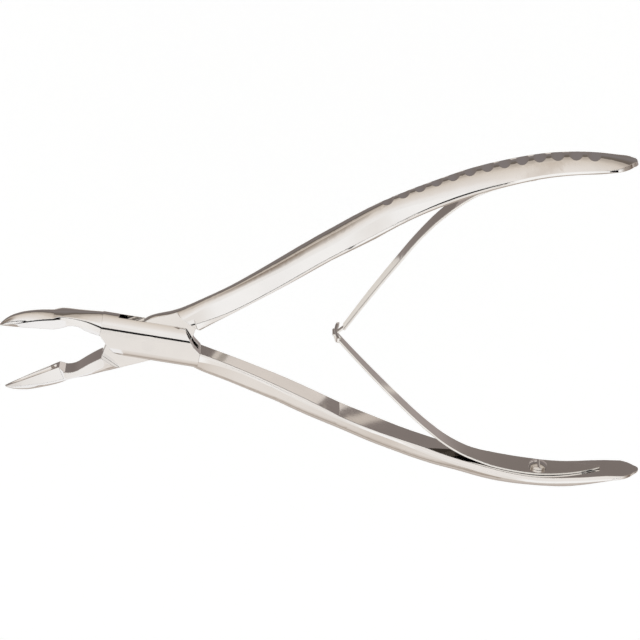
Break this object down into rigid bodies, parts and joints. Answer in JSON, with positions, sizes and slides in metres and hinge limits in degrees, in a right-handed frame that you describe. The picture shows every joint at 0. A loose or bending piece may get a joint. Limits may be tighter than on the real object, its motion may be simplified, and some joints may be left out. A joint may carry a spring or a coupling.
{
  "type": "bone rongeur",
  "caption": "Polished steel bone rongeur with a box joint, cupped biting jaws, scalloped grips and double leaf springs that push the handles open.",
  "frame": {"origin": "on the pivot axis, at the outer flat face of the lower cheek", "axes": "+X from the pivot towards the free ends of the handles, +Y towards the handle of the through half, +Z along the pivot axis from the lower cheek to the upper cheek"},
  "size_m": [0.1596, 0.0925, 0.01],
  "materials": {
    "forged_steel": "mirror polished stainless steel with fine polishing lines",
    "pin_steel": "ground flush and polished with the cheeks",
    "spring_steel": "polished stainless spring steel",
    "screw_steel": "turned stainless steel, lightly polished"
  },
  "bodies": {
    "slotted_side": {"slotted_half": "forged_steel", "joint_pin": "pin_steel", "lower_spring": "spring_steel", "lower_spring_screw": "screw_steel"},
    "through_side": {"through_half": "forged_steel", "upper_spring": "spring_steel", "upper_spring_screw": "screw_steel"}
  },
  "joints": [
    {"name": "pivot", "type": "hinge", "parent": "slotted_side", "child": "through_side", "pos_m": [0, 0, 0.0028], "axis": [0, 0, 1], "range_deg": [-25.9, 4], "stiffness_Nm_per_rad": 2, "deforming": ["lower_spring", "upper_spring"]}
  ]
}
